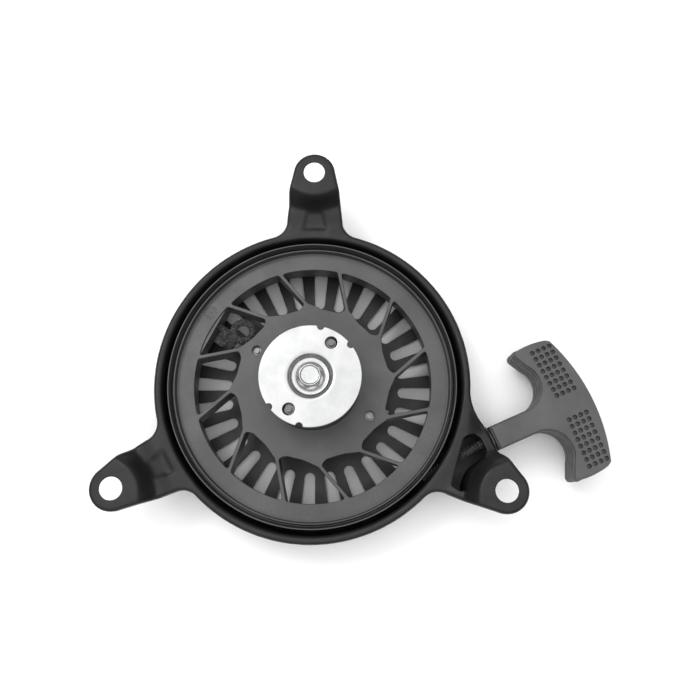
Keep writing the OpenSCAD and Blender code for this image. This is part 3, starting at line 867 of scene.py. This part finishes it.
def sheet_points(rings):
    """A net of points on the sheet between those rings, clear of them, so that its slopes are smooth."""
    gap = 1.3
    clear = 0.9
    loops = [[tuple(v.co.xy) for v in ring] for ring in rings]
    points = []
    for i in range(-90, 91):
        for j in range(-72, 91):
            x = i * gap + (gap / 2.0 if j % 2 else 0.0)
            y = j * gap + 15.0
            if math.hypot(x, y) > RIM_R - 1.0 and inside((x, y), loops):
                if min(math.dist((x, y), p) for loop in loops for p in loop[::2]) > clear:
                    points.append((x, y, sheet_height(x, y)))
    return points


def add_bowl_floor(flange, edge):
    """The floor with its slots and the low round rise at its middle."""
    slots = [flange.level(wound(grille_slot(n), False), FLOOR_IN_Z) for n in range(SLOTS)]
    rise = ((3.4, 0.0), (2.2, 0.2), (0.9, 1.25), (-0.6, HUB_RISE))
    hub = flange.lathe([(HUB_R + out, FLOOR_IN_Z + up) for out, up in rise], 120, closed=False)
    flange.cap([edge] + slots + [hub[0]])
    flange.cap([hub[-1]])


def rope_pocket():
    """The drawn pocket that the rope crosses."""
    tub = Piece()
    plan = wound(spaced(pocket(), 2.5), True)
    sides = [tub.ring([(x, y, min(sheet_height(x, y), RIM_Z) - 1.9) for x, y in plan])]
    sides.append(tub.level(plan, FLOOR_IN_Z + 7.5))
    sides += tub.rolled(plan, FLOOR_IN_Z + 6.0, 0.8, 3, down=False)[::-1]
    tub.chain(sides)
    tub.cap([sides[-1]])
    tub.face_up(*along_rope([(60.0, 0.0)])[0])
    return tub


def build_housing():
    flange = Piece()
    rings = [add_folded_edge(flange)]
    rings += [add_ear_hole(flange, turn) for turn in EAR_TURNS]
    rings.append(add_mouth_lip(flange))
    walls = flange.lathe(bowl_profile(), 220, closed=False)
    rings.append(walls[0])
    flange.cap(rings, sheet_points(rings))
    add_bowl_floor(flange, walls[-1])
    flange.face_up(0.0, 0.0)
    flange.join(rope_pocket())
    flange.finish("housing_shell", "housing", "black_steel", "black_steel", ["housing"],
                  sheet=SHEET, edge=0.18)


# ---------------------------------------------------------------- pulley
def spoke_side(side, radius):
    """Where one side of the first spoke crosses a circle about the spin axis."""
    a = Vector(polar(39.4, 1.8))
    b = Vector(polar(62.6, 17.8))
    way = (b - a).normalized()
    a += Vector((-way.y, way.x)) * SPOKE_HALF_W * side
    half = a.dot(way)
    return tuple(a + way * (-half + math.sqrt(half * half - a.dot(a) + radius * radius)))


def window(number):
    """Opening between a spoke and the next, with the hub's gusset at the foot of each."""
    step = 360.0 / SPOKES
    gusset = ((41.0, 9.4), (40.1, 11.6), (39.9, 17.8), (40.2, 24.0), (41.2, 28.1), (42.2, 31.2))
    hub = [polar(r, t) for r, t in gusset]
    following = turned([spoke_side(-1.0, 43.4), spoke_side(-1.0, DRUM_IN_R)], step)
    first = [spoke_side(1.0, DRUM_IN_R), spoke_side(1.0, 42.8)]
    high = math.degrees(math.atan2(following[1][1], following[1][0]))
    low = math.degrees(math.atan2(first[0][1], first[0][0]))
    outer = arc((0.0, 0.0), DRUM_IN_R, high, low, 8)
    shape = hub + following[:1] + outer + first[1:]
    return turned(spaced(rounded(shape, 1.5), 2.5), step * number)


def rim_profile():
    """From the face's outer edge over both rings, the rope's groove and the far flange to the web's back."""
    back = FACE_Z - FLANGE
    edge = 0.4
    return [
        (FACE_IN_R, FACE_Z), (70.7, FACE_Z + 0.1), (71.0, FACE_Z + 0.5), (71.1, RING_Z - 0.3),
        (71.3, RING_Z), (71.75, RING_Z), (72.0, RING_Z - 0.3), (72.1, FACE_Z + 0.6), (72.5, FACE_Z + 0.1),
        (73.0, FACE_Z + 0.1), (73.4, FACE_Z + 0.6), (73.5, LIP_Z - 0.3), (73.75, LIP_Z), (74.15, LIP_Z),
        (LIP_R, LIP_Z - 0.3),
        (LIP_R, back + edge), (LIP_R - edge, back), (DRUM_OUT_R, back), (DRUM_OUT_R, GROOVE_Z),
        (FAR_R - edge, GROOVE_Z), (FAR_R, GROOVE_Z - edge), (FAR_R, FAR_Z + edge), (FAR_R - edge, FAR_Z),
        (DRUM_IN_R + 0.6, FAR_Z), (DRUM_IN_R + 0.4, FAR_Z + 0.2), (DRUM_IN_R + 0.02, FACE_Z - WEB)]


def house_profile():
    """From the face up the pawl house, in to the bore, and back down inside to the web's back."""
    boss_top = -3.6
    roof = -6.5
    return [
        (HOUSE_R + 0.9, FACE_Z), (HOUSE_R + 0.3, FACE_Z + 0.3), (HOUSE_R, FACE_Z + 0.9),
        (HOUSE_R, HOUSE_FLOOR), (HOUSE_IN_R, HOUSE_FLOOR), (BOSS_R, HOUSE_FLOOR), (BOSS_R, boss_top - 0.3),
        (BOSS_R - 0.2, boss_top), (BORE_R, boss_top), (BORE_R, BOSS_BOTTOM), (BOSS_R, BOSS_BOTTOM),
        (BOSS_R, roof), (HOUSE_IN_R, roof), (HOUSE_IN_R, FACE_Z - WEB)]


def build_pulley():
    p = Piece()
    pin_holes = [circle(polar(KEEPER_PIN_R, t), KEEPER_HOLE_R, 24) for t in (150.0, 330.0)]
    tops = []
    bottoms = []
    for loop in [window(n) for n in range(SPOKES)] + pin_holes:
        loop = wound(loop, False)
        rings = p.rolled(loop, FACE_Z, 0.4, 3)
        rings.append(p.level(loop, FACE_Z - WEB))
        p.chain(rings)
        tops.append(rings[0])
        bottoms.append(rings[-1])
    rim = p.lathe(rim_profile(), 220, closed=False)
    house = p.lathe(house_profile(), 120, closed=False)
    p.cap([rim[0]] + tops + [house[0]])
    p.cap([rim[-1]] + bottoms + [house[-1]])
    for number in range(SPOKES):
        add_spoke(p, number * 360.0 / SPOKES)
    add_skirt(p)
    add_house_walls(p)
    add_knot_wall(p)
    add_mould_mark(p, (-55.2, 37.9))
    p.finish("pulley_moulding", "pulley", "black_nylon", "black_nylon", ["pulley"])


def add_spoke(p, turn):
    """The deep rib under a spoke's face."""
    inner = 39.6
    outer = DRUM_IN_R + 0.5
    inset = 0.03
    corners = [spoke_side(s, r) for s, r in ((-1.0, inner), (-1.0, outer), (1.0, outer), (1.0, inner))]
    loop = turned(corners, turn)
    middle = Vector((sum(c[0] for c in loop) / 4.0, sum(c[1] for c in loop) / 4.0))
    loop = [tuple(Vector(c) + (middle - Vector(c)).normalized() * inset) for c in loop]
    p.closed_off([p.level(loop, FACE_Z - WEB + 0.05), p.level(loop, FAR_Z + 0.5)])


def add_skirt(p):
    """The round wall under the hub disc that the recoil spring lies in."""
    edge = 0.3
    top = FACE_Z - WEB + 0.1
    p.lathe([(SKIRT_IN_R, top), (SKIRT_OUT_R, top), (SKIRT_OUT_R, SKIRT_Z + edge),
             (SKIRT_OUT_R - edge, SKIRT_Z), (SKIRT_IN_R + edge, SKIRT_Z), (SKIRT_IN_R, SKIRT_Z + edge)])


def add_house_walls(p):
    """The pawl house's two walls, with a gateway for a pawl before each."""
    edge = 0.3
    foot = HOUSE_FLOOR - 0.2
    wall = [(HOUSE_IN_R, foot), (HOUSE_R, foot), (HOUSE_R, HOUSE_TOP - edge), (HOUSE_R - edge, HOUSE_TOP),
            (HOUSE_IN_R + edge, HOUSE_TOP), (HOUSE_IN_R, HOUSE_TOP - edge)]
    for side in (0.0, 180.0):
        p.sector(wall, GUIDE_ANG + side + GATEWAY, GUIDE_ANG + side + 180.0, 48)


def add_knot_wall(p):
    """The flat wall beside the drum that the rope's knot is pulled against."""
    half_w = 13.8
    shape = [(60.1, -half_w), (62.0, -half_w), (62.0, half_w), (60.1, half_w)]
    loop = turned(rounded(shape, 0.5), 153.0)
    p.closed_off([p.level(loop, FACE_Z - 0.9), p.level(loop, FAR_Z + 0.8)])


def add_mould_mark(p, centre):
    """Raised ticks round a small raised dot, as an injection mould's insert leaves."""
    top = FACE_Z + 0.28
    foot = FACE_Z - 0.1
    ticks = 12
    for number in range(ticks):
        tick = turned([(2.2, -0.22), (3.7, -0.3), (3.7, 0.3), (2.2, 0.22)], 360.0 / ticks * number)
        p.slab([(x + centre[0], y + centre[1]) for x, y in tick], [], top, foot, 0.06, 1)
    p.slab(circle(centre, 0.8, 12), [], top, foot, 0.1, 1)


# ---------------------------------------------------------------- drive plate and screw
def notched_edge():
    """The plate's edge with a notch on each side of each guide hole."""
    half = 4.65
    notches = sorted((GUIDE_ANG + s + w) % 360.0 for s in (0.0, 180.0) for w in (-NOTCH_ANG, NOTCH_ANG))
    loop = []
    for i, here in enumerate(notches):
        bite = arc(polar(PLATE_R - 0.3, here), NOTCH_R, here - 97.0, here - 263.0, 8)
        upto = notches[(i + 1) % 4] + (360.0 if i == 3 else 0.0)
        loop += bite + arc((0.0, 0.0), PLATE_R, here + half, upto - half, 36)
    return loop


def build_plate():
    """A flat ring with a dished middle, which is one sheet with its upper and its lower side."""
    p = Piece()
    guides = [circle(polar(GUIDE_R, GUIDE_ANG + s), GUIDE_HOLE_R, 32) for s in (0.0, 180.0)]
    middle = circle((0.0, 0.0), DISH_R, 120)
    top, bottom = p.slab(notched_edge(), guides, PLATE_TOP, PLATE_TOP - PLATE_T, 0.55, 4, open_hole=middle)
    dish = [(12.2, 0.04), (11.6, 0.16), (11.0, 0.45), (10.5, 0.95), (10.1, 1.6), (9.75, 2.25), (9.4, 2.62),
            (8.9, 2.82), (8.3, 2.75), (7.7, 2.82), (7.2, 2.98), (3.3, DISH_DEPTH)]
    upper = [(r, PLATE_TOP - d) for r, d in dish]
    lower = [(r + PLATE_T * 0.35, PLATE_TOP - PLATE_T - d) for r, d in reversed(dish)]
    order = [tuple(v.co.xy) for v in top]
    rings = [p.level([(x * r / DISH_R, y * r / DISH_R) for x, y in order], z) for r, z in upper + lower]
    p.chain([top] + rings + [bottom])
    p.finish("drive_plate_stamping", "drive_plate", "zinc", "zinc", ["drive_plate"])


def hexagon(flat_r, limit, steps=96):
    """A hexagon of that half width across its flats, cut off at a circle."""
    turn = 12.0
    loop = []
    for i in range(steps):
        t = 360.0 * i / steps
        off = (t % 60.0) - 30.0
        loop.append(polar(min(flat_r / math.cos(math.radians(off)), limit), t + turn))
    return loop


def build_screw():
    """The shank, the washer flange, and a hexagon head with a shallow recess."""
    p = Piece()
    seat = PLATE_TOP - DISH_DEPTH + 0.05
    top = SCREW_BOX[1][2]
    flange = ((7.2, 0.0), (7.4, 0.15), (7.4, 0.5), (7.1, 0.8), (6.4, 1.15))
    crown = ((5.25, 0.06), (5.0, 0.0), (4.75, 0.1), (4.45, 0.42), (4.1, 0.55), (2.0, 0.58), (0.4, 0.58))
    loops = [(circle((0.0, 0.0), 3.0, 96), -17.0), (circle((0.0, 0.0), 3.0, 96), seat)]
    loops += [(circle((0.0, 0.0), r, 96), seat + up) for r, up in flange]
    loops += [(hexagon(SCREW_FLAT_R, 6.2), seat + 1.5), (hexagon(SCREW_FLAT_R, 6.1), top - 1.0),
              (hexagon(SCREW_FLAT_R - 0.15, 5.6), top - 0.35)]
    loops += [(circle((0.0, 0.0), r, 96), top - down) for r, down in crown]
    p.closed_off([p.level(loop, z) for loop, z in loops])
    p.finish("center_screw_head", "housing", "zinc", "turned_zinc", ["center_screw"])


# ---------------------------------------------------------------- handle
def grip_outline():
    """The grip's outline in the rope's frame: stem, hollow, tip, end and the palm's arc, then mirrored."""
    side = [(73.4, 6.4)] + arc((95.0, 18.6), 12.2, -90.0, 40.0, 26)
    side += arc((103.3, 34.0), 2.5, 205.0, 105.0, 8)
    side += arc((110.8, -5.2), 41.9, 97.0, 76.5, 10) + arc((34.8, 0.0), 94.0, 21.4, 0.0, 26)
    return spaced(side + [(x, -y) for x, y in reversed(side[:-1])], 1.8)


def add_pit(p, centre):
    """One dimple of the grip's face. Gives back the ring at its edge."""
    profile = ((1.3, 0.0), (1.22, 0.1), (1.12, 1.6), (0.7, 1.9), (0.2, 1.7))
    rings = [p.level(circle(centre, r, 16), GRIP_TOP - depth) for r, depth in profile]
    p.chain(rings)
    p.bm.faces.new(rings[-1])
    return rings[0]


def add_pits(p):
    """Two fields of dimples, eight rows of four each, one on each side of the stem."""
    row_gap, pit_gap = 3.54, 3.25
    edges = []
    for side in (-1.0, 1.0):
        for row in range(8):
            for pit in range(4):
                place = (112.0 - 0.22 * row + pit_gap * pit, side * (6.8 + row_gap * row))
                edges.append(add_pit(p, along_rope([place])[0]))
    return edges


def build_grip():
    """The T grip: a face with a grooved edge, ribbed sides, and the knot's space open underneath."""
    p = Piece()
    plan = wound(along_rope(grip_outline()), True)
    levels = [(1.15, 0.0), (0.95, -0.06), (0.8, -0.25), (0.72, -0.6), (0.72, -1.0), (1.6, -1.5), (1.6, -2.1),
              (0.3, -2.7), (0.0, -3.4), (0.0, -7.6), (0.5, -8.0), (0.5, -8.6), (0.0, -9.0), (0.0, -11.4),
              (0.5, -11.8), (0.5, -12.4), (0.0, -12.8), (0.0, -15.8), (0.3, -16.6), (1.0, -17.0)]
    sides = [p.level(pushed(plan, inset), GRIP_TOP + z) for inset, z in levels]
    p.chain(sides)
    p.cap([sides[0]] + add_pits(p))
    corners = [(97.0, -6.0), (111.0, -6.0), (111.0, 6.0), (97.0, 6.0)]
    space = wound(along_rope(rounded(corners, 2.0)), False)
    walls = [p.level(space, GRIP_BOTTOM), p.level(space, GRIP_BOTTOM + KNOT_SPACE_DEPTH)]
    p.chain(walls)
    p.cap([walls[1]])
    p.cap([sides[-1], walls[0]])
    p.finish("grip_moulding", "handle", "grip_plastic", "grip_plastic", ["handle_grip"])


# ---------------------------------------------------------------- rope
def trefoil(centre, steps=132):
    """A trefoil knot's path, turned to lie against the knot wall."""
    size, swing = 2.75, 1.35
    tilt = math.radians(60.0)
    path = []
    for t in [math.tau * i / steps for i in range(steps)]:
        r = size + swing * math.cos(3.0 * t)
        place = (*polar(r, math.degrees(2.0 * t + tilt)), swing * math.sin(3.0 * t))
        path.append(centre + Vector(place))
    return path


def build_knot():
    """The rope's end in the pulley: a hard knot against the wall, and a loop beside it."""
    p = Piece()
    mid = (WOUND_BOX[0][2] + WOUND_BOX[1][2]) / 2.0
    lump = trefoil(Vector((*polar(52.4, 152.4), mid)))
    p.braid(lump, 1.75, 7.0, 0.55, closed=True)
    p.tube(lump, 1.15, 10, closed=True)
    centre = polar(47.7, 143.4)
    ring = [Vector((x, y, mid + 1.0)) for x, y in circle(centre, 5.1, 120)]
    p.braid(ring, ROPE_R, 8.0, 0.6, closed=True)
    p.tube(ring, 1.3, 10, closed=True)
    start = Vector((*polar(54.0, 149.0), mid))
    end = Vector((*polar(DRUM_OUT_R - 0.2, 148.0), mid))
    out = [start.lerp(end, i / 24) for i in range(25)]
    p.braid(out, 1.9, 8.0, 0.55)
    p.tube(out, 1.2, 10)
    p.finish("knotted_rope_end", "pulley", "rope", "rope", ["rope_knot"])


def build_rope_run():
    """The stretch from the drum to the eyelet, seen through the opening beside the right ear."""
    p = Piece()
    eyelet_end = 65.6
    length = 34.0
    reach = math.hypot(EYELET_X, ROPE_OFFSET)
    swing = math.degrees(math.asin((DRUM_OUT_R + 6.2) / reach) - math.atan2(ROPE_OFFSET, EYELET_X))
    back = polar(length, swing)
    ends = along_rope([(eyelet_end, 0.0), (eyelet_end - back[0], -back[1])])
    a = Vector((*ends[0], ROPE_Z))
    b = Vector((*ends[1], ROPE_Z))
    path = [a.lerp(b, i / 90) for i in range(91)]
    p.braid(path, ROPE_R - 0.02, 8.0, 0.6)
    p.tube(path, 1.3, 10)
    p.finish("rope_across_pocket", "housing", "rope", "rope", ["rope_run"])


def build_rope_lead():
    """The stretch from the eyelet to the grip's knot, as a plain tube on no body."""
    p = Piece()
    ends = along_rope([(EYELET_X, 0.0), (99.3, 0.0)])
    start = Vector((*ends[0], ROPE_Z))
    end = Vector((*ends[1], ROPE_Z))
    path = [start.lerp(end, i / 160) for i in range(161)]
    p.tube(path, ROPE_R - 0.1, 20)
    obj = p.finish("rope_to_grip", None, "rope", "rope", ["rope_lead"])
    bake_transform(obj)


build_housing()
build_pulley()
build_plate()
build_screw()
build_grip()
build_knot()
build_rope_run()
build_rope_lead()

SLOT_OF = {s["node"]: s["material_slot"] for s in frame["record"]["subparts"]}
for node, obj in frame["nodes"].items():
    if not obj.hide_render:
        paint(obj, SLOT_OF[node])


# ---------------------------------------------------------------- stage, light and camera, in metres
FLOOR_HALF = 2.0
WALL_LIGHT = 0.22
CEILING_LIGHT = 2.1
CEILING_START, CEILING_FULL = 0.45, 0.9
SOFTBOX_PLACE = (-0.5, 0.45, 1.0)
SOFTBOX_SIZE = (0.5, 0.4)
SOFTBOX_POWER = 4.0
CAMERA_PLACE = (0.0226, -0.0610, 0.3421)
CAMERA_TURN = (12.307, 0.434, 0.349)
CAMERA_LENS = 36.0
CAMERA_SENSOR = 36.0


def build_floor():
    bm = bmesh.new()
    bmesh.ops.create_grid(bm, x_segments=2, y_segments=2, size=FLOOR_HALF)
    mesh = bpy.data.meshes.new("floor")
    bm.to_mesh(mesh)
    bm.free()
    obj = bpy.data.objects.new("floor", mesh)
    obj.location.z = FLOOR_Z
    scene.collection.objects.link(obj)
    paint(obj, "paper_with_painted_shadow")


def build_room():
    """A soft white ceiling over dark walls, so that level faces are light and slopes fall off to black."""
    world = bpy.data.worlds.new("studio")
    world.use_nodes = True
    tree = world.node_tree
    back = tree.nodes["Background"]
    split = tree.nodes.new("ShaderNodeSeparateXYZ")
    rise = tree.nodes.new("ShaderNodeMapRange")
    rise.interpolation_type = "SMOOTHSTEP"
    back.inputs["Color"].default_value = (1.0, 1.0, 1.0, 1.0)
    rise.inputs["From Min"].default_value = CEILING_START
    rise.inputs["From Max"].default_value = CEILING_FULL
    rise.inputs["To Min"].default_value = WALL_LIGHT
    rise.inputs["To Max"].default_value = CEILING_LIGHT
    tree.links.new(tree.nodes.new("ShaderNodeTexCoord").outputs["Generated"], split.inputs[0])
    tree.links.new(split.outputs[2], rise.inputs["Value"])
    tree.links.new(rise.outputs["Result"], back.inputs["Strength"])
    scene.world = world


def build_softbox():
    """A weak lamp at the upper left, aimed at the origin."""
    data = bpy.data.lights.new("upper_left", "AREA")
    data.shape = "RECTANGLE"
    data.size, data.size_y = SOFTBOX_SIZE
    data.energy = SOFTBOX_POWER
    obj = bpy.data.objects.new("upper_left", data)
    obj.location = SOFTBOX_PLACE
    obj.rotation_euler = (-Vector(SOFTBOX_PLACE)).to_track_quat("-Z", "Y").to_euler()
    scene.collection.objects.link(obj)


def build_camera():
    data = bpy.data.cameras.new("camera")
    data.sensor_width = CAMERA_SENSOR
    data.lens = CAMERA_LENS
    data.clip_start = 0.01
    obj = bpy.data.objects.new("camera", data)
    obj.location = CAMERA_PLACE
    obj.rotation_euler = [math.radians(a) for a in CAMERA_TURN]
    scene.collection.objects.link(obj)
    scene.camera = obj


build_floor()
build_room()
build_softbox()
build_camera()
scene.view_settings.view_transform = "Standard"
